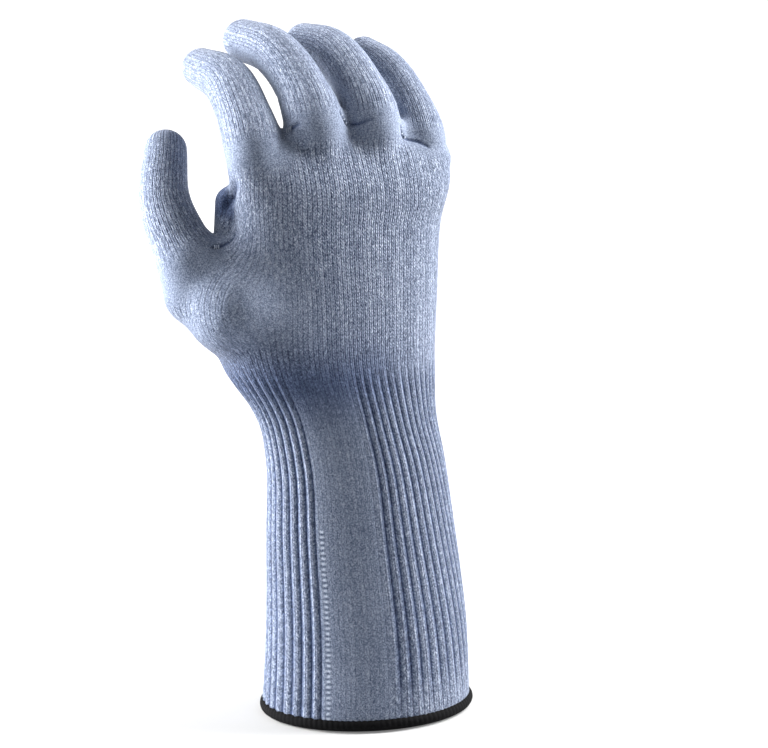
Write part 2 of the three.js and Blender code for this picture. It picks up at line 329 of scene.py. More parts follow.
def surface_net(low, high, spacing):
    """Points and quads of the skin inside a box, one point in each grid cell that it crosses."""
    counts = np.ceil((np.array(high) - low) / spacing).astype(int) + 1
    axes = [low[k] + spacing * np.arange(counts[k]) for k in range(3)]
    grid = np.stack(np.meshgrid(*axes, indexing="ij"), axis=-1)
    value = np.concatenate([field(layer.reshape(-1, 3)) for layer in grid])
    value = value.reshape(counts)
    inside = value < 0
    cells = tuple(counts - 1)
    total, crossings = np.zeros(cells + (3,)), np.zeros(cells)
    corners = np.ndindex(2, 2, 2)

    def corner_slice(array, c):
        return array[c[0]:c[0] + cells[0], c[1]:c[1] + cells[1], c[2]:c[2] + cells[2]]

    for a in corners:
        for k in range(3):
            if a[k]:
                continue
            b = tuple(a[m] + (m == k) for m in range(3))
            va, vb = corner_slice(value, a), corner_slice(value, b)
            cross = (va < 0) != (vb < 0)
            t = np.where(cross, va / np.where(cross, va - vb, 1), 0)
            spot = np.array(a) + t[..., None] * np.eye(3)[k]
            total += np.where(cross[..., None], spot, 0)
            crossings += cross
    mixed = crossings > 0
    number = np.full(cells, -1)
    number[mixed] = np.arange(mixed.sum())
    base = np.argwhere(mixed)
    points = low + spacing * (base + total[mixed] / crossings[mixed][:, None])
    quads = []
    for k in range(3):
        m, n = (k + 1) % 3, (k + 2) % 3
        first = np.take(inside, range(counts[k] - 1), axis=k)
        second = np.take(inside, range(1, counts[k]), axis=k)
        at = np.argwhere(first != second)
        at = at[np.all([at[:, m] > 0, at[:, n] > 0,
                        at[:, m] < cells[m], at[:, n] < cells[n]], axis=0)]
        rising = first[tuple(at.T)]
        ring = []
        for dm, dn in ((0, 0), (-1, 0), (-1, -1), (0, -1)):
            cell = at.copy()
            cell[:, m] += dm
            cell[:, n] += dn
            ring.append(number[tuple(cell.T)])
        ring = np.stack(ring, axis=1)
        quads.append(np.where(rising[:, None], ring, ring[:, ::-1]))
    return points, np.concatenate(quads)


def relax(points, quads, rounds=3, share=0.5):
    """Evens out the quads and puts their points back on the skin."""
    ends = np.concatenate([quads[:, [k, (k + 1) % 4]] for k in range(4)])
    ends = np.concatenate([ends, ends[:, ::-1]])
    degree = np.bincount(ends[:, 0], minlength=len(points))
    for _ in range(rounds):
        mean = np.stack([np.bincount(ends[:, 0], points[ends[:, 1], k], len(points))
                         for k in range(3)], axis=1) / degree[:, None]
        points = settle(points + share * (mean - points), 1)
    return settle(points)


# ----- where the skin is cut, and where it folds -----

# Before and after each joint, the stretch of skin in that joint's piece.
FINGER_STRETCH = {"root": (3.0, 6.0), "middle": (5.0, 9.0), "end": (6.0, 6.0)}
THUMB_STRETCH = {"root": (1.0, 7.0), "end": (8.0, 8.0)}
CUFF_JOIN = 148.0  # height where the ribbed cuff's grid meets the hand's surface
CUT_REACH, CUT_DEPTH = 26.0, 12.0  # the faces that a cut may touch, across and along the digit


def stretches(name):
    """For each joint of a digit: its bodies, and where its stretch of skin starts and ends."""
    line = LINES[name]
    table = THUMB_STRETCH if name == "thumb" else FINGER_STRETCH
    rows = []
    for (bend, (before, after)), s in zip(table.items(), line["joint_s"]):
        joint = next(j for j in frame["joints"] if j["name"] == f"{name}_{bend}_bend")
        rows.append({"joint": joint, "start": s - before, "end": s + after})
    return rows


def cut_places(name):
    """Places along a digit where one piece of skin ends and the next starts."""
    rows = stretches(name)
    between = [(rows[i]["end"] + rows[i + 1]["start"]) / 2 for i in range(len(rows) - 1)]
    return [rows[0]["start"], *between]


# From each fork, the way that its crease runs over the back of the hand: steps across, towards
# the palm and up.
CREASES = {
    "index_middle": ((-0.4, 6.2, 4.8), (0.7, 3.2, 5.7), (2.4, 0.5, 7.2)),
    "middle_ring": ((-4.3, 0, 9), (-1, 0, 6), (3, 0, 4.7), (8.7, 0, 5.4)),
    "ring_little": ((-2.8, 0, 5), (-0.6, 0, 1.4), (4.6, 0, -0.3), (8.8, 0, -3.4)),
    "thumb": ((-3.5, 0, 0), (-0.7, 0, 0.4), (5.2, 0, 4.2)),
}
CREASE_DEPTH, CREASE_WIDTH = 0.9, 0.8
# Softer folds in the cloth: points along each, its depth and its width.
FOLDS = [
    (((-56.0, 9.6, 198), (-54.5, 7, 203), (-52.5, 2, 210)), 2.4, 2.2),  # below the index finger
    (((-44, 24, 197), (-34, 24, 188), (-25, 24, 173), (-20, 24, 158), (-22, 24, 149)), 1.7, 4.5),
    (((-30, 24, 200), (-15, 24, 190), (-4, 24, 174), (0, 24, 158), (-3, 24, 150)), 1.0, 5.0),
    (((-26, 22, 216), (-8, 24, 205), (10, 24, 200), (24, 20, 201), (34, 16, 206)), 1.3, 4.0),
    (((-36, 18, 124), (-20, 26, 117), (0, 27, 113), (20, 20, 119)), 1.5, 3.2),  # across the wrist
    (((-30, 22, 135), (-12, 26, 128), (8, 26, 128)), 0.8, 3.2),
]
FINGER_FOLD = (0.9, 1.6)  # depth and width of the fold at each bend, on the palm side
FINE_REACH = 3.5  # the surface is finer this near a crease
FINE_WIDTH = 2.0  # only a fold narrower than this needs it
FOLD_POINTS = 14  # on each fold's path
FOLD_MARGIN = 3.0  # past this many widths a fold isn't felt
FOLD_TURNS = (-1.1, -0.5, 0.0, 0.5, 1.1)  # round the inside of a finger, from its middle
FINGER_BACK = np.array((0.0, -1.0, 0.6))  # the way that the back of a curled finger faces
THUMB_BACK = np.array((-0.35, -1.0, 0.2))


def valley(knots, depth, width, fade):
    """A fold's path on the skin, with its depth at each point of the path."""
    at = np.arange(len(knots), dtype=float)
    path = through(np.linspace(0, at[-1], FOLD_POINTS), at, np.array(knots, float))
    line = settle(path, 4)
    margin = FOLD_MARGIN * width
    return {"line": line, "depths": depth * fade, "width": width,
            "low": line.min(0) - margin, "high": line.max(0) + margin}


def valleys():
    """The creases at the forks, the cloth's folds, and the folds inside the finger bends."""
    along = np.linspace(0, 1, FOLD_POINTS)
    to_one_end = np.exp(-0.8 * along ** 4)
    to_both_ends = np.sin(pi * (0.06 + 0.88 * along)) ** 0.7
    found = []
    for name, steps in CREASES.items():
        low, high = box("fork_thread_" + name)
        knots = [(low + high) / 2 + step for step in steps]
        found.append(valley(knots, CREASE_DEPTH, CREASE_WIDTH, to_one_end))
    for knots, depth, width in FOLDS:
        found.append(valley(knots, depth, width, to_both_ends))
    for name in DIGITS:
        line = LINES[name]
        for s in line["joint_s"][1:]:
            ahead = tangent_at(line, s)
            side = unit(np.cross(ahead, FINGER_BACK))
            under = unit(np.cross(ahead, side))
            radius = np.interp(s, line["s"], line["radii"])
            knots = [point_at(line, s) + radius * (cos(turn) * under + sin(turn) * side)
                     for turn in FOLD_TURNS]
            found.append(valley(knots, *FINGER_FOLD, to_both_ends))
    return found


VALLEYS = valleys()


def pressed(p):
    """How deep the folds press the skin in at each point, and how strong the painted shade in the
    folds is there.
    """
    depth, dark = np.zeros(len(p)), np.zeros(len(p))
    for fold in VALLEYS:
        near = np.all((p > fold["low"]) & (p < fold["high"]), axis=1)
        q, most = p[near], np.zeros(near.sum())
        line = fold["line"]
        for i in range(len(line) - 1):
            gap, _ = capsule_distance(q, line[i], line[i + 1], 0, 0)
            most = np.maximum(most, fold["depths"][i] * np.exp(-(gap / fold["width"]) ** 2))
        depth[near] = np.maximum(depth[near], most)
        dark[near] = np.maximum(dark[near], most / fold["width"])
    return depth, np.clip(dark, 0, 1)


def near_crease(p):
    """True at the points close to a narrow fold."""
    close = np.zeros(len(p), bool)
    for fold in VALLEYS:
        if fold["width"] < FINE_WIDTH:
            for start, end in zip(fold["line"], fold["line"][1:]):
                close |= capsule_distance(p, start, end, 0, 0)[0] < FINE_REACH
    return close


OWN_REACH = np.array([3.0, 3.0, 3.0, 3.0, 1.5])  # how far off its tube each digit's skin may be


def owners(p):
    """For each point the digit that it belongs to, or -1, and its place along that digit."""
    found = [digit_distance(p, LINES[name]) for name in DIGITS]
    nearest = np.argmin([d for d, _ in found], axis=0)
    place = np.choose(nearest, [s for _, s in found])
    gap = np.choose(nearest, [d for d, _ in found])
    return np.where(gap < OWN_REACH[nearest], nearest, -1), place


PALM_BOX = ((-60, -25, 0), (42, 30, 0))  # holds the palm without the digits, across and deep
NET_MARGIN = 3.0
SAME_PLACE = 1e-4  # corners closer than this to a cut are on it


def hand_box():
    """Corners of the box that holds the hand's surface above the cuff."""
    low = np.min([LINES[name]["low"] for name in DIGITS], axis=0) + REACH - NET_MARGIN
    high = np.max([LINES[name]["high"] for name in DIGITS], axis=0) - REACH + NET_MARGIN
    low, high = np.minimum(low, PALM_BOX[0]), np.maximum(high, PALM_BOX[1])
    low[2] = CUFF_JOIN - 3 * GRID
    return low, high


def cut_across(bm, name, s):
    """Cuts a digit's faces along the plane across it at a place."""
    centre, normal = point_at(LINES[name], s), tangent_at(LINES[name], s)
    faces = list(bm.faces)
    middles = np.array([f.calc_center_median() for f in faces])
    close = np.flatnonzero(np.linalg.norm(middles - centre, axis=1) < CUT_REACH)
    owner, place = owners(middles[close])
    own = close[(owner == list(DIGITS).index(name)) & (np.abs(place - s) < CUT_DEPTH)]
    faces = [faces[i] for i in own]
    edges = dict.fromkeys(e for f in faces for e in f.edges)
    verts = dict.fromkeys(v for f in faces for v in f.verts)
    bmesh.ops.bisect_plane(bm, geom=[*verts, *edges, *faces], dist=SAME_PLACE,
                           plane_co=centre, plane_no=normal)


def refine(bm):
    """Splits the edges near the narrow folds in two."""
    close = near_crease(np.array([v.co for v in bm.verts]))
    fine = [v for v, keep in zip(bm.verts, close) if keep]
    edges = dict.fromkeys(e for v in fine for e in v.link_edges)
    bmesh.ops.subdivide_edges(bm, edges=list(edges), cuts=1, use_grid_fill=True)
    bm.verts.index_update()


def piece_numbers(middles):
    """The piece of skin that each face is in: 0 is the palm, and the digits' lengths follow."""
    owner, place = owners(middles)
    piece = np.zeros(len(middles), int)
    first = 1
    for number, name in enumerate(DIGITS):
        line = LINES[name]
        places = cut_places(name)
        for order, s in enumerate(places):
            beyond = (middles - point_at(line, s)) @ tangent_at(line, s) > 0
            beyond &= (owner == number) & (place > s - CUT_DEPTH)
            piece[beyond] = first + order
        first += len(places)
    return piece


def cut_skin():
    """The hand's skin as points and faces, cut along each plane between two pieces.
    Returns the points, the faces and, for each face, the number of its piece."""
    points, quads = surface_net(*hand_box(), GRID)
    points = relax(points, quads)
    bm = bmesh.new()
    for point in points:
        bm.verts.new(point)
    bm.verts.ensure_lookup_table()
    for quad in quads:
        bm.faces.new([bm.verts[i] for i in quad])
    bmesh.ops.bisect_plane(bm, geom=[*bm.verts, *bm.edges, *bm.faces], dist=SAME_PLACE,
                           plane_co=(0, 0, CUFF_JOIN), plane_no=(0, 0, 1), clear_inner=True)
    for name in DIGITS:
        for s in cut_places(name):
            cut_across(bm, name, s)
    refine(bm)
    points = np.array([v.co for v in bm.verts])
    close = near_crease(points)
    points[close] = settle(points[close])
    faces = [[v.index for v in f.verts] for f in bm.faces]
    middles = np.array([f.calc_center_median() for f in bm.faces])
    bm.free()
    return points, faces, piece_numbers(middles)


# ----- the run of the stitches -----

WALES_ROUND_HAND = 120
WALES_ROUND_DIGIT = 40
KNUCKLES = 200.0  # above this height the palm's columns run straight up
TYPICAL_SECTION = (40.0, 24.0, 2.1)  # half-width, half-depth and squareness
RIB_SPREAD = 9.0  # columns by which the ribs on the little finger's side fan out down to the hem
SPREAD_FROM, SPREAD_MIDDLE = -5.0, 27.0  # columns where the fan starts and where it is widest


def round_table(steps=721):
    """Stitch columns against the angle round a typical cross section, from the back's centre."""
    angle = np.linspace(-pi, pi, steps)
    a, b, n = TYPICAL_SECTION
    c, s = np.cos(angle), np.sin(angle)
    x = a * np.sign(s) * np.abs(s) ** (2 / n)
    y = -b * np.sign(c) * np.abs(c) ** (2 / n)
    eccentric = np.arctan2(x / a, -y / b)
    length = run(np.stack([x, y], axis=1))
    return eccentric, WALES_ROUND_HAND * (length / length[-1] - 0.5)


ROUND_ANGLE, ROUND_WALE = round_table()


def hand_knit(p):
    """Stitch column and row at points of the palm and cuff."""
    x, y, a, b, n = section(np.minimum(p[:, 2], KNUCKLES))
    across, deep = (p[:, 0] - x) / a, -(p[:, 1] - y) / b
    rim = (1 - np.minimum(np.abs(across), 1) ** n) ** (1 / n)
    deep = np.where(deep < 0, -1, 1) * np.maximum(np.abs(deep), rim)
    wale = np.interp(np.arctan2(across, deep), ROUND_ANGLE, ROUND_WALE)
    return wale, p[:, 2] / COURSE


def spread(wale, z):
    """How far round the cuff a column of stitches moves from its place on the hand."""
    half = WALES_ROUND_HAND / 2
    opened = np.clip((wale - SPREAD_FROM) / (SPREAD_MIDDLE - SPREAD_FROM), 0, 1)
    closing = np.clip((half - wale) / (half - SPREAD_MIDDLE), 0, 1)
    return RIB_SPREAD * np.clip(1 - z / RIB_TOP, 0, 1) * np.sin(pi / 2 * opened) * closing


def digit_knit(p, name, s):
    """Stitch column and row on a digit. The columns are counted from the palm's own column at
    the digit's root, apart on the back and on the palm side."""
    line = LINES[name]
    centre, ahead = point_at(line, s), tangent_at(line, s, 1)
    side = unit(np.cross(ahead, THUMB_BACK if name == "thumb" else FINGER_BACK))
    up = np.cross(side, ahead)
    gap = p - centre
    angle = np.arctan2((gap * side).sum(1), (gap * up).sum(1))
    turn = WALES_ROUND_DIGIT / (2 * pi)
    start = point_at(line, 0)
    columns = []
    for direction in (-1, 1):
        spot = settle(np.array([start + (0, direction * line["radii"][0], 0)]), 3)
        columns.append(round(float(hand_knit(spot)[0][0])))
    from_back = columns[0] + angle * turn
    behind = np.where(angle > 0, pi - angle, -pi - angle)
    from_palm = columns[1] - behind * turn
    wale = np.where(np.abs(angle) < pi / 2, from_back, from_palm)
    return wale, start[2] / COURSE + s / COURSE


THENAR_GRAIN = (np.array((-49.0, 0.0, 164.0)), np.array((22.0, 28.0, 20.0)))  # centre and reach
# The places along a digit, and the distances outside its tube, between which the palm's columns
# give way to its own.
FINGER_TAKES_OVER, THUMB_TAKES_OVER = (-5.0, 5.0), (-14.0, 6.0)
OUTSIDE = (2.5, 6.0)


def knit(p):
    """Stitch column and row at points of the skin, and how far the stitches blur into plain grain
    there, as they do where columns are added and on the ball of the thumb."""
    wale, course = hand_knit(p)
    centre, reach = THENAR_GRAIN
    blur = np.exp(-(((p - centre) / reach) ** 2).sum(1))
    for name in DIGITS:
        d, s = digit_distance(p, LINES[name])
        low, high = THUMB_TAKES_OVER if name == "thumb" else FINGER_TAKES_OVER
        share = smooth_step(s, low, high) * smooth_step(-d, -OUTSIDE[1], -OUTSIDE[0])
        some = share > 0
        if some.any():
            w, c = digit_knit(p[some], name, s[some])
            wale[some] += share[some] * (w - wale[some])
            course[some] += share[some] * (c - course[some])
            blur = np.maximum(blur, np.sqrt(np.clip(4 * share * (1 - share), 0, 1)))
    return np.stack([wale, course, blur], axis=1)


# ----- meshes -----


def smooth_object(name, points, faces, material, scale=MM):
    """An object with smooth faces, from points in millimetres."""
    mesh = bpy.data.meshes.new(name)
    mesh.from_pydata((np.array(points) * scale).tolist(), [], faces)
    mesh.polygons.foreach_set("use_smooth", [True] * len(faces))
    mesh.materials.append(material)
    obj = bpy.data.objects.new(name, mesh)
    bpy.context.scene.collection.objects.link(obj)
    return obj


def border(faces):
    """The border's edges, in the order in which their own face runs."""
    seen = dict.fromkeys(edge for face in faces for edge in zip(face, face[1:] + face[:1]))
    return [(a, b) for a, b in seen if (b, a) not in seen]


def face_layout(mesh):
    """For each corner its point, for each face its first corner and its number of corners."""
    count = len(mesh.polygons)
    corner, start, sizes = np.zeros(len(mesh.loops), int), np.zeros(count, int), np.zeros(count, int)
    mesh.loops.foreach_get("vertex_index", corner)
    mesh.polygons.foreach_get("loop_start", start)
    mesh.polygons.foreach_get("loop_total", sizes)
    return corner, start, sizes


COLUMN_JUMP = 2.5  # a wider jump inside one face is where two counts of columns meet


def add_knit_map(mesh, stitches):
    """A UV map whose unit is one column and one row of stitches."""
    corner, start, sizes = face_layout(mesh)
    column, row = np.tile(stitches[:, 0], 2)[corner], np.tile(stitches[:, 1], 2)[corner]
    jump = column - np.repeat(column[start], sizes)
    column = column - np.where(np.abs(jump) > COLUMN_JUMP, np.round(jump), 0)
    layer = mesh.uv_layers.new(name="knit")
    layer.data.foreach_set("uv", np.stack([column, row], axis=1).astype(np.float32).ravel())


def set_normals(mesh, normals, walls):
    """Gives both sides of the cloth the skin's own normals, and leaves its raw edges flat."""
    corner, _, sizes = face_layout(mesh)
    both = np.concatenate([normals, -normals])[corner]
    flat = np.zeros(len(mesh.polygons) * 3)
    mesh.polygons.foreach_get("normal", flat)
    flat = np.repeat(flat.reshape(-1, 3), sizes, axis=0)
    is_wall = np.repeat(np.arange(len(sizes)) >= len(sizes) - walls, sizes)
    mesh.normals_split_custom_set(np.where(is_wall[:, None], flat, both).tolist())


def fabric_piece(name, points, normals, stitches, painted_shade, faces, material):
    """A closed piece of cloth: the outer skin, an inner skin and the raw edges between them.
    The stitches go in a UV map in columns and rows; the fourth array is painted shade, which
    darkens the folds, the rib valleys, the wrist and the cloth under the index finger; and blur
    turns the stitches into plain grain."""
    used = sorted({i for face in faces for i in face})
    order = {old: new for new, old in enumerate(used)}
    faces = [[order[i] for i in face] for face in faces]
    points, normals, stitches, painted_shade = [rows[used] for rows in (points, normals, stitches, painted_shade)]
    count = len(used)
    inside = [[i + count for i in face[::-1]] for face in faces]
    walls = [[b, a, a + count, b + count] for a, b in border(faces)]
    cloth = np.concatenate([points, points - FABRIC * normals])
    obj = smooth_object(name, cloth, faces + inside + walls, material)
    add_knit_map(obj.data, stitches)
    for layer, values in (("painted_shade", painted_shade), ("blur", stitches[:, 2])):
        shade = obj.data.attributes.new(layer, "FLOAT", "POINT")
        shade.data.foreach_set("value", np.tile(values, 2).astype(np.float32))
    set_normals(obj.data, normals, len(walls))
    return obj


# ----- materials -----


class Nodes:
    """A short way to write a material's nodes."""

    def __init__(self, name):
        self.material = bpy.data.materials.new(name)
        self.material.use_nodes = True
        self.tree = self.material.node_tree
        self.shader = self.tree.nodes["Principled BSDF"]

    def add(self, kind, **settings):
        node = self.tree.nodes.new(kind)
        for key, value in settings.items():
            setattr(node, key, value)
        return node

    def wire(self, value, socket):
        if isinstance(value, bpy.types.NodeSocket):
            self.tree.links.new(value, socket)
        else:
            socket.default_value = value

    def feed(self, node, **values):
        for socket, value in values.items():
            self.wire(value, node.inputs[socket])
        return node

    def math(self, operation, *values, clamp=False):
        node = self.add("ShaderNodeMath", operation=operation, use_clamp=clamp)
        for value, socket in zip(values, node.inputs):
            self.wire(value, socket)
        return node.outputs[0]

    def times(self, a, b, plus=0.0):
        """One value times another, plus a third."""
        return self.math("MULTIPLY_ADD", a, b, plus)

    def combine(self, x, y, z=0.0):
        return self.feed(self.add("ShaderNodeCombineXYZ"), X=x, Y=y, Z=z).outputs[0]

    def attribute(self, name):
        return self.add("ShaderNodeAttribute", attribute_name=name).outputs["Fac"]

    def hump(self, value):
        """Rises from 0 to 1 and falls again over each unit of a value."""
        return self.math("SINE", self.times(self.math("FRACT", value), pi))

    def share(self, value, low, high):
        """How far a value is from low to high."""
        return self.times(value, 1 / (high - low), -low / (high - low))

    def bump(self, height, strength, distance):
        """Raises the surface by a height whose unit is a distance in millimetres."""
        node = self.feed(self.add("ShaderNodeBump"), Strength=strength, Distance=distance * MM,
                         Height=height)
        self.wire(node.outputs[0], self.shader.inputs["Normal"])

    def noise(self, vector, scale, detail=2.0, roughness=0.5):
        node = self.feed(self.add("ShaderNodeTexNoise"), Vector=vector, Scale=scale, Detail=detail,
                         Roughness=roughness)
        return node.outputs[0]

    def random(self, vector):
        node = self.add("ShaderNodeTexWhiteNoise", noise_dimensions="3D")
        return self.feed(node, Vector=vector).outputs["Value"]

    def ramp(self, factor, stops):
        node = self.add("ShaderNodeValToRGB")
        node.color_ramp.interpolation = "LINEAR"
        while len(node.color_ramp.elements) < len(stops):
            node.color_ramp.elements.new(0.5)
        for element, (place, colour) in zip(node.color_ramp.elements, stops):
            element.position = place
            element.color = (*colour, 1)
        self.wire(factor, node.inputs[0])
        return node.outputs[0]

    def tint(self, colour, factor, shade):
        node = self.add("ShaderNodeMix", data_type="RGBA", blend_type="MULTIPLY")
        return self.feed(node, Factor=factor, A=colour, B=shade).outputs["Result"]


# The yarn's colour for each tone, from its darkest fibres to its lightest.
YARN = [
    (0.12, (0.020, 0.032, 0.068)),
    (0.36, (0.085, 0.113, 0.180)),
    (0.56, (0.205, 0.246, 0.338)),
    (0.88, (0.520, 0.580, 0.700)),
]
# The blue of the painted shade in the folds, the rib valleys, at the wrist and under the index
# finger.
PAINTED_SHADE_TINT = (0.17, 0.255, 0.45, 1)
# How much each kind of unevenness moves the yarn's tone.
TONES = {"one_ply": 0.30, "one_stitch": 0.14, "one_column": 0.10, "streak": 0.34,
         "fibre": 1.0, "cloud": 0.14}
WANDER_ACROSS, WANDER_ALONG = 0.22, 0.5  # how far stitches stray, in columns and rows
LEG_SLANT = 1.6  # rows that a stitch's legs slant by for each column across
MEAN_HUMP = 0.6  # where blurred stitches level out
LEG_RELIEF, GROOVE_RELIEF, YARN_RELIEF, FIBRE_RELIEF = 0.30, 0.70, 0.45, 0.5
GROOVE_SHADE, BLUE_IN_SHADE = 0.85, 0.12
LADDER, LADDER_TOP = -17.6, 60.0  # column and top row of the light bars beside the plain band
LADDER_BAR = 1.6  # rows from one bar to the next


def stitch_nodes(n):
    """One stitch: a pair of slanting legs, the groove beside them and the turns of the yarn."""
    split = n.add("ShaderNodeSeparateXYZ")
    n.wire(n.add("ShaderNodeUVMap", uv_map="knit").outputs[0], split.inputs[0])
    column, row = split.outputs[0], split.outputs[1]
    wander = n.math("SUBTRACT", n.noise(n.combine(column, row), 0.8), 0.5)
    u = n.times(wander, WANDER_ACROSS, column)
    v = n.times(wander, WANDER_ALONG, row)
    off_centre = n.math("ABSOLUTE", n.math("SUBTRACT", n.math("FRACT", u), 0.5))
    along = n.times(off_centre, -LEG_SLANT, v)
    crisp = n.math("SUBTRACT", 1.0, n.attribute("blur"))
    legs, yarn = [n.times(n.math("SUBTRACT", hump, MEAN_HUMP), crisp, MEAN_HUMP)
                  for hump in (n.hump(n.times(u, 2.0)), n.hump(along))]
    groove = n.times(n.math("POWER", n.times(off_centre, 2.0), 4.0), crisp)
    return SimpleNamespace(column=column, row=row, u=u, v=v, along=along, crisp=crisp, legs=legs,
                           yarn=yarn, groove=groove)


def unevenness(n, stitch):
    """What makes the yarn's tone uneven, each from 0 to 1."""
    u, v, along = stitch.u, stitch.v, stitch.along
    place = n.add("ShaderNodeTexCoord").outputs["Object"]
    column, leg, ply = [n.math("FLOOR", n.times(u, count)) for count in (1.0, 2.0, 4.0)]
    long_way = n.combine(n.times(u, 4.0), n.times(v, 1.6))
    return {
        "one_ply": n.random(n.combine(ply, n.math("FLOOR", n.times(along, 2.0)))),
        "one_stitch": n.random(n.combine(leg, n.math("FLOOR", along))),
        "one_column": n.random(n.combine(column, 7.0)),
        "streak": n.noise(long_way, 1.0, 2.0, 0.7),
        "fibre": n.noise(place, 1900.0, 2.0, 0.7),
        "cloud": n.noise(place, 38.0),
    }


def ladder_bars(n, stitch):
    """Light bars up one column of the lower cuff."""
    beside = n.math("ABSOLUTE", n.math("SUBTRACT", stitch.column, LADDER))
    beside = n.math("SUBTRACT", 1.0, n.times(beside, 1.3), clamp=True)
    bar = n.math("SINE", n.times(stitch.row, 2 * pi / LADDER_BAR))
    bar = n.times(beside, n.times(bar, 0.30, 0.10))
    return n.times(bar, n.math("LESS_THAN", stitch.row, LADDER_TOP))


def knit_material(name, ladder=False):
    """Plain knit in mixed yarn. Each stitch is a pair of slanting legs of two plies, each with a
    tone of its own; whole columns differ a little, and painted shade darkens the grooves between
    them."""
    n = Nodes(name)
    stitch = stitch_nodes(n)
    sources = unevenness(n, stitch)
    tone = 0.5
    for source, weight in TONES.items():
        part = n.times(n.math("SUBTRACT", sources[source], 0.5), weight)
        if source not in ("fibre", "cloud"):
            part = n.times(part, stitch.crisp)
        tone = n.math("ADD", tone, part)
    if ladder:
        tone = n.math("ADD", tone, ladder_bars(n, stitch))
    # painted shade in the grooves between columns and between the turns of the yarn, bluer where
    # darker
    depth = n.math("MULTIPLY_ADD", sources["cloud"], 1.1, 0.1, clamp=True)
    shade = n.times(n.times(stitch.groove, -GROOVE_SHADE), depth)
    shade = n.math("ADD", shade, n.times(stitch.yarn, 0.25, 0.80), clamp=True)
    blue = n.times(shade, 1 - BLUE_IN_SHADE, BLUE_IN_SHADE)
    colour = n.tint(n.ramp(tone, YARN), 1.0, n.combine(shade, shade, blue))
    # painted shade, tinted blue, in the folds, rib valleys, at the wrist and under the index finger
    colour = n.tint(colour, n.attribute("painted_shade"), PAINTED_SHADE_TINT)
    n.wire(colour, n.shader.inputs["Base Color"])
    height = n.times(stitch.legs, LEG_RELIEF, 1 - LEG_RELIEF)
    height = n.times(stitch.groove, -GROOVE_RELIEF, height)
    height = n.times(height, n.times(stitch.yarn, YARN_RELIEF, 1 - YARN_RELIEF))
    n.bump(n.times(sources["fibre"], FIBRE_RELIEF, height), strength=0.6, distance=0.40)
    n.wire(n.times(sources["fibre"], 0.25, 0.70), n.shader.inputs["Roughness"])
    n.shader.inputs["Sheen Weight"].default_value = 0.1
    n.shader.inputs["Sheen Roughness"].default_value = 0.6
    n.shader.inputs["Specular IOR Level"].default_value = 0.25
    return n.material


def thread_material(name, dark, light, roughness):
    """Spun thread, dark between its fibres."""
    n = Nodes(name)
    fibre = n.noise(n.add("ShaderNodeTexCoord").outputs["Object"], 2200.0, 3.0, 0.7)
    n.wire(n.ramp(fibre, [(0.3, dark), (0.75, light)]), n.shader.inputs["Base Color"])
    n.bump(fibre, strength=0.5, distance=0.25)
    n.wire(n.times(fibre, 0.2, roughness - 0.1), n.shader.inputs["Roughness"])
    n.shader.inputs["Specular IOR Level"].default_value = 0.1
    return n.material


# ----- the cuff -----

COLUMNS_PER_WALE = 4  # columns of the cuff's grid in each column of stitches
ROW_HEIGHT = 1.6
RIB_DEPTH = 0.85
BACK_RIB_DEPTH = 0.55  # flatter on the back of the forearm
RIB_LEVEL = 0.6  # the part of a rib's height that is pressed in
RIB_RISE = (2, 24)  # heights between which the back's ribs rise out of the hem
OUTER_RIBS = (15, 30)  # columns between which they deepen towards the little finger's side
BAND = (-18.3, -5.4)  # first and last column of the plain band
BAND_BLUR = 0.6
HEM_OVERLAP = 2.2  # how far down into the hem the cuff reaches


def rib_share(wale, z):
    """How strongly the cuff is ribbed at a stitch column and height: not on the plain band at
    the back, and not above the wrist."""
    return np.clip(1 - smooth_step(z, RIB_TOP - 6, RIB_TOP + 6), 0, 1) * plain_band(wale, z)


def plain_band(wale, z):
    """0 on the plain band and 1 away from it."""
    before = 1 - smooth_step(wale, BAND[0] - 1, BAND[0])
    return np.clip(before + smooth_step(wale, BAND[1] - 0.5, BAND[1] + 3), 0, 1)


def rib_height(wale, z):
    """Height of the ribs, and how deep in a valley between ribs a point is, which is painted as
    shade in the valleys.
    """
    wave = 0.5 + 0.5 * np.cos(pi * wale)
    on_back = wale > BAND[0]
    share = rib_share(wale, z) * np.where(on_back, smooth_step(z, *RIB_RISE), 1)
    deep = np.where(on_back, BACK_RIB_DEPTH, RIB_DEPTH)
    deep = deep + (RIB_DEPTH - deep) * smooth_step(wale, *OUTER_RIBS)
    return deep * share * (wave ** 0.7 - RIB_LEVEL), share * (1 - wave) ** 2


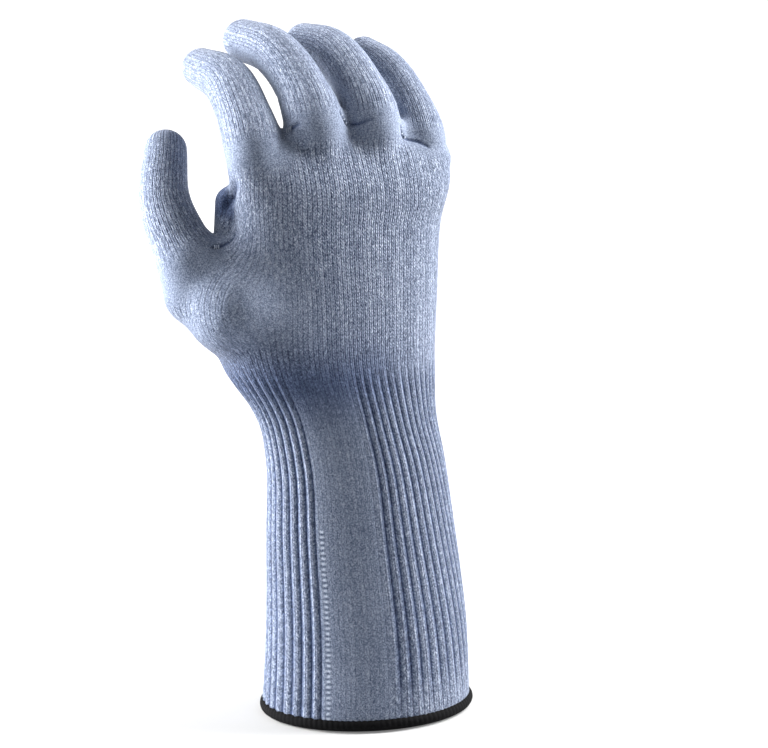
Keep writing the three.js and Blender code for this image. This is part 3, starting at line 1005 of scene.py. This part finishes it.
def cuff_grid(near=0.4, far=2.2, rounds=26):
    """Rings of skin from the hem to the hand, with two columns of stitches to each rib. The skin
    is looked for between near and far along rays from the cuff's axis."""
    rows = np.linspace(HEM_TOP - HEM_OVERLAP, CUFF_JOIN, int((CUFF_JOIN - HEM_TOP) / ROW_HEIGHT))
    columns = WALES_ROUND_HAND * COLUMNS_PER_WALE
    wales = np.arange(columns) / COLUMNS_PER_WALE - WALES_ROUND_HAND / 2
    wale, z = [m.ravel() for m in np.meshgrid(wales, rows)]
    angle = np.interp(wale + spread(wale, z), ROUND_WALE, ROUND_ANGLE)
    x, y, a, b, _ = section(z)
    direction = np.stack([a * np.sin(angle), -b * np.cos(angle), 0 * z], axis=1)
    centre = np.stack([x, y, z], axis=1)
    near, far = np.full(len(z), near), np.full(len(z), far)
    for _ in range(rounds):
        half = (near + far) / 2
        inside = field(centre + half[:, None] * direction) < 0
        near, far = np.where(inside, half, near), np.where(inside, far, half)
    points = centre + near[:, None] * direction
    # the second value is the painted shade in the valleys between the ribs
    rise, painted_shade = rib_height(wale, z)
    points = points + rise[:, None] * outward(points)
    blur = BAND_BLUR * (1 - plain_band(wale, z)) * (1 - smooth_step(z, RIB_TOP - 22, CUFF_JOIN))
    normals = ring_normals(points, (len(rows), columns))
    return points, normals, np.stack([wale, z / COURSE, blur], 1), painted_shade, rings(len(rows), columns)


def rings(rows, columns):
    """Quads between closed rings of points."""
    faces = []
    for i in range(rows - 1):
        for j in range(columns):
            k = (j + 1) % columns
            low, high = i * columns, (i + 1) * columns
            faces.append([low + j, low + k, high + k, high + j])
    return faces


def ring_normals(points, shape):
    """Outward normals of a grid of rings."""
    grid = points.reshape(*shape, 3)
    round_way = np.roll(grid, -1, axis=1) - np.roll(grid, 1, axis=1)
    up_way = np.gradient(grid, axis=0)
    return unit(np.cross(round_way, up_way)).reshape(-1, 3)


def add_cuff(material):
    points, normals, stitches, painted_shade, faces = cuff_grid()
    join = points[:, 2] > CUFF_JOIN - 0.01
    normals[join] = outward(points[join])
    shade = shaded(points)
    points, normals, fold = fold_skin(points, normals)
    # painted shade: the rib valleys, the folds and the wrist
    painted_shade = np.maximum(np.maximum(painted_shade, CUFF_FOLD_SHADE * fold), shade)
    cuff = fabric_piece("cuff_knit", points, normals, stitches, painted_shade, faces, material)
    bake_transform(cuff)
    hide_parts("forearm_cuff", "wrist_rib")


# ----- the hem -----

HEM_RADIUS = (1.5, 2.1)  # half-thickness across the fabric and half-height
HEM_WRAPS = 118
HEM_SAMPLES = 8  # along each wrap of thread
HEM_SIDES = 14
HEM_INSET = 0.35  # its middle is this far inside the cuff's outline
HEM_LEAN = (0.9, 1.2)  # how far each wrap leans round the bead, and where it starts
HEM_SWELL, HEM_UNEVEN = 0.10, 0.03  # shares of its thickness


def add_hem(material):
    """A thick bead of black thread wrapped round the cuff's edge."""
    count = HEM_WRAPS * HEM_SAMPLES
    centre_z = HEM_RADIUS[1]
    turn = 2 * pi * np.arange(count) / count
    x, y, a, b, _ = section(np.full(count, centre_z))
    ring = np.stack([x + a * np.sin(turn), y - b * np.cos(turn), np.full(count, centre_z)], 1)
    out = unit(np.stack([b * np.sin(turn), -a * np.cos(turn), 0 * turn], 1))
    points = []
    for k in range(HEM_SIDES):
        angle = 2 * pi * k / HEM_SIDES
        lean = HEM_WRAPS * turn + HEM_LEAN[0] * sin(angle) + HEM_LEAN[1]
        swell = 1 + HEM_SWELL * np.abs(np.cos(lean / 2)) + HEM_UNEVEN * np.sin(7 * turn + 2 * angle)
        across = HEM_RADIUS[0] * cos(angle) * swell
        up = HEM_RADIUS[1] * sin(angle) * (swell if sin(angle) > 0 else 1)
        points.append(ring + (across - HEM_INSET)[:, None] * out + np.outer(up, (0, 0, 1)))
    faces = rings(HEM_SIDES, count)
    last = (HEM_SIDES - 1) * count
    faces += [[last + i, last + (i + 1) % count, (i + 1) % count, i] for i in range(count)]
    hem = smooth_object("hem_overlock", np.concatenate(points), faces, material)
    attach(hem, "cuff")
    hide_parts("hem_binding")


# ----- the hand -----

# Strength of the painted shade in the folds and creases, on the hand and on the cuff.
HAND_FOLD_SHADE, CUFF_FOLD_SHADE = 0.8, 0.6


def fold_skin(points, normals, reach=0.25):
    """Presses the folds into the skin. Returns the points, their normals and the folds' shade."""
    depth, dark = pressed(points)
    tilt = np.stack([(pressed(points + step)[0] - pressed(points - step)[0]) / (2 * reach)
                     for step in np.eye(3) * reach], axis=1)
    tilt -= (tilt * normals).sum(1)[:, None] * normals
    return points - depth[:, None] * normals, unit(normals + tilt), dark


WRIST_SHADE = (135, 15, 0.8)  # height, reach and strength of the painted shade at the wrist, darker and bluer
WRIST_SHADE_FADE = (-12, 16, 0.8)  # it loses this share between these places across the back
# Strength of the painted shadow on the loose cloth under the index finger.
ROLL_SHADE = 0.85
ROLL_EDGE, ROLL_FOOT, ROLL_FAR_SIDE = (0.2, 1.5), (193, 199), (16, 20)  # where that shade fades


def shaded(p):
    """Painted shade, darker and bluer, round the wrist, and painted shadow on the loose cloth under
    the index finger."""
    height, reach, strength = WRIST_SHADE
    low, high, loss = WRIST_SHADE_FADE
    wrist = strength * np.exp(-((p[:, 2] - height) / reach) ** 2)
    wrist *= 1 - loss * smooth_step(p[:, 0], low, high)
    gap, _ = capsule_distance(p, *INDEX_ROLL)
    roll = ROLL_SHADE * (1 - smooth_step(gap, *ROLL_EDGE)) * smooth_step(p[:, 2], *ROLL_FOOT)
    return np.maximum(wrist, roll * (1 - smooth_step(p[:, 1], *ROLL_FAR_SIDE)))


def add_hand(material):
    points, faces, piece = cut_skin()
    normals = outward(points)
    stitches = knit(points)
    shade = shaded(points)
    points, normals, painted_shade = fold_skin(points, normals)
    # painted shade: the folds and creases, the wrist and the cloth under the index finger
    painted_shade = np.maximum(HAND_FOLD_SHADE * painted_shade, shade)
    palm = fabric_piece("palm_knit", points, normals, stitches, painted_shade,
                        [f for f, p in zip(faces, piece) if p == 0], material)
    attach(palm, "hand")
    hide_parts("five_finger_palm", "four_finger_palm")
    number = 1
    for name in DIGITS:
        for row in stretches(name):
            part = row["joint"]["child"]
            skin = fabric_piece(part + "_knit", points, normals, stitches, painted_shade,
                                [f for f, p in zip(faces, piece) if p == number], material)
            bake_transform(skin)
            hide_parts(part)
            number += 1


# ----- the stitches at the forks -----

THREAD = 0.34  # radius of the thread
FORK_STITCHES = 3
STITCH_REACH = 0.9  # from a stitch's middle to its ends
STITCH_SLANT = 0.4
STITCH_SINK = 0.30  # how deep its ends go into the skin


def tube(path, radius, sides=8):
    """Points and faces of a closed round tube along a path."""
    path = np.array(path)
    ahead = unit(np.gradient(path, axis=0))
    side = unit(np.cross(ahead, (0.3, 0.2, 0.93)))
    up = np.cross(ahead, side)
    points = []
    for i in range(len(path)):
        thin = sin(pi * (i + 0.6) / (len(path) + 0.2)) ** 0.4
        for k in range(sides):
            angle = 2 * pi * k / sides
            points.append(path[i] + radius * thin
                          * (cos(angle) * side[i] + sin(angle) * up[i]))
    faces = rings(len(path), sides)
    faces.append(list(range(sides))[::-1])
    faces.append([(len(path) - 1) * sides + k for k in range(sides)])
    return points, faces


def add_fork(name, material, count=9):
    """Small slanting stitches over the start of a fork's crease, which hold it shut."""
    line = VALLEYS[list(CREASES).index(name)]["line"]
    points, faces = [], []
    for k in range(FORK_STITCHES):
        centre = line[1 + 2 * k]
        ahead = unit(line[2 + 2 * k] - line[2 * k])
        normal = outward(centre[None, :])[0]
        across = np.cross(normal, ahead)
        span = []
        for t in np.linspace(-1, 1, count):
            spot = centre + STITCH_REACH * t * (across + STITCH_SLANT * ahead)
            spot = settle(spot[None, :])[0]
            span.append(spot - normal * STITCH_SINK * t * t)
        p, f = tube(span, THREAD)
        faces += [[i + len(points) for i in face] for face in f]
        points += p
    stitch = smooth_object("fork_stitch_" + name, points, faces, material)
    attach(stitch, "hand")
    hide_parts("fork_thread_" + name)


# ----- camera, light and floor -----

TARGET = Vector((0.013, 0.008, 0.1315))  # what the camera and lamps look at, in metres
AZIMUTH, ELEVATION = -28, 9  # of the camera, in degrees
DISTANCE = 0.95
LENS, SENSOR = 112, 36
# Each lamp's name, its angles from the camera's side and from the ground, and its power.
LAMPS = [("left_panel", -94, 8, 31), ("high_left_panel", -72, 48, 3), ("right_panel", 106, 35, 24)]
LAMP_DISTANCE = 0.8
LAMP_SIZE = (0.4, 0.8)
WORLD_LIGHT, WORLD_PALENESS = 0.03, 1.0  # the studio hardly lights the glove, and is pale to see


def away(azimuth, elevation):
    """The way from the glove at an angle round it and an angle up, in degrees."""
    turn, rise = radians(azimuth), radians(elevation)
    return Vector((sin(turn) * cos(rise), -cos(turn) * cos(rise), sin(rise)))


def aim(name, data, azimuth, elevation, distance):
    """Adds a camera or a lamp that looks at the glove."""
    obj = bpy.data.objects.new(name, data)
    bpy.context.scene.collection.objects.link(obj)
    back = away(azimuth, elevation)
    obj.location = TARGET + back * distance
    obj.rotation_mode = "QUATERNION"
    obj.rotation_quaternion = (-back).to_track_quat("-Z", "Y")
    return obj


def add_camera():
    data = bpy.data.cameras.new("camera")
    data.lens, data.sensor_width = LENS, SENSOR
    bpy.context.scene.camera = aim("camera", data, AZIMUTH, ELEVATION, DISTANCE)


def add_studio():
    """A nearly dark world, pale only where the camera sees it, and soft rectangular lamps."""
    world = bpy.data.worlds.new("studio")
    bpy.context.scene.world = world
    world.use_nodes = True
    nodes, links = world.node_tree.nodes, world.node_tree.links
    background = nodes["Background"]
    background.inputs["Color"].default_value = (0.95, 0.97, 1, 1)
    rays, strength = nodes.new("ShaderNodeLightPath"), nodes.new("ShaderNodeMath")
    strength.operation = "MULTIPLY_ADD"
    strength.inputs[1].default_value = WORLD_PALENESS
    strength.inputs[2].default_value = WORLD_LIGHT
    links.new(rays.outputs["Is Camera Ray"], strength.inputs[0])
    links.new(strength.outputs[0], background.inputs["Strength"])
    for name, azimuth, elevation, power in LAMPS:
        data = bpy.data.lights.new(name, "AREA")
        data.shape = "RECTANGLE"
        data.size, data.size_y = LAMP_SIZE
        data.energy = power
        aim(name, data, AZIMUTH + azimuth, elevation, LAMP_DISTANCE)
    bpy.context.scene.view_settings.view_transform = "Standard"


FLOOR_GLOW = [(0.0, 0.0), (0.11, 0.2), (0.15, 0.2), (0.30, 0.6), (1.0, 1.0)]
GLOW_FROM, GLOW_TO = -0.35, 2.0  # where the glow starts and is full, in metres behind the glove
AROUND_FROM, AROUND_TO = 0.5, 1.3  # the same on every side of it
FLOOR_TONES = (0.39, 0.41)


def floor_material():
    """A pale sheet that glows behind the glove and away from it, so that it's even white there."""
    n = Nodes("pale_floor")
    place = n.add("ShaderNodeTexCoord").outputs["Object"]
    dull, pale = [(tone, tone, tone) for tone in FLOOR_TONES]
    n.wire(n.ramp(n.noise(place, 6.0), [(0.3, dull), (0.7, pale)]), n.shader.inputs["Base Color"])
    behind = n.add("ShaderNodeVectorMath", operation="DOT_PRODUCT")
    n.wire(place, behind.inputs[0])
    behind.inputs[1].default_value = -away(AZIMUTH, 0)
    far = n.add("ShaderNodeVectorMath", operation="LENGTH")
    n.wire(place, far.inputs[0])
    glow = n.ramp(n.share(behind.outputs["Value"], GLOW_FROM, GLOW_TO),
                  [(at, (light, light, light)) for at, light in FLOOR_GLOW])
    around = n.ramp(n.share(far.outputs["Value"], AROUND_FROM, AROUND_TO),
                    [(0, (0, 0, 0)), (1, (1, 1, 1))])
    n.wire(n.math("MAXIMUM", glow, around), n.shader.inputs["Emission Strength"])
    n.shader.inputs["Roughness"].default_value = 0.9
    n.shader.inputs["Emission Color"].default_value = (1, 1, 1, 1)
    return n.material


def add_floor(half=4, start=-3.0, bend=1.2, radius=0.8, top=3.0, gap=0.0005, steps=12):
    """A plain sheet that runs from under the glove up behind it, in metres."""
    base = Vector((0, 0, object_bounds()[0].z - gap))
    back = -away(AZIMUTH, 0)
    side = Vector((0, 0, 1)).cross(back)
    profile = [(start, 0.0), (bend, 0.0)]
    for k in range(1, steps + 1):
        turn = pi / 2 * k / steps
        profile.append((bend + radius * sin(turn), radius * (1 - cos(turn))))
    profile.append((bend + radius, top))
    points = [back * reach + side * across + base + Vector((0, 0, rise))
              for reach, rise in profile for across in (-half, half)]
    faces = [[2 * i, 2 * i + 1, 2 * i + 3, 2 * i + 2] for i in range(len(profile) - 1)]
    smooth_object("floor", points, faces, floor_material(), scale=1)


# ----- build -----

add_camera()
add_studio()
plain = knit_material("plain_knit")
ribbed = knit_material("rib_knit", ladder=True)
black_thread = thread_material("hem_thread", (0.0015, 0.0015, 0.002), (0.007, 0.007, 0.008), 0.9)
pale_thread = thread_material("fork_thread", (0.12, 0.15, 0.22), (0.50, 0.55, 0.65), 0.8)
add_hand(plain)
add_cuff(ribbed)
add_hem(black_thread)
for fork in CREASES:
    add_fork(fork, pale_thread)
add_floor()
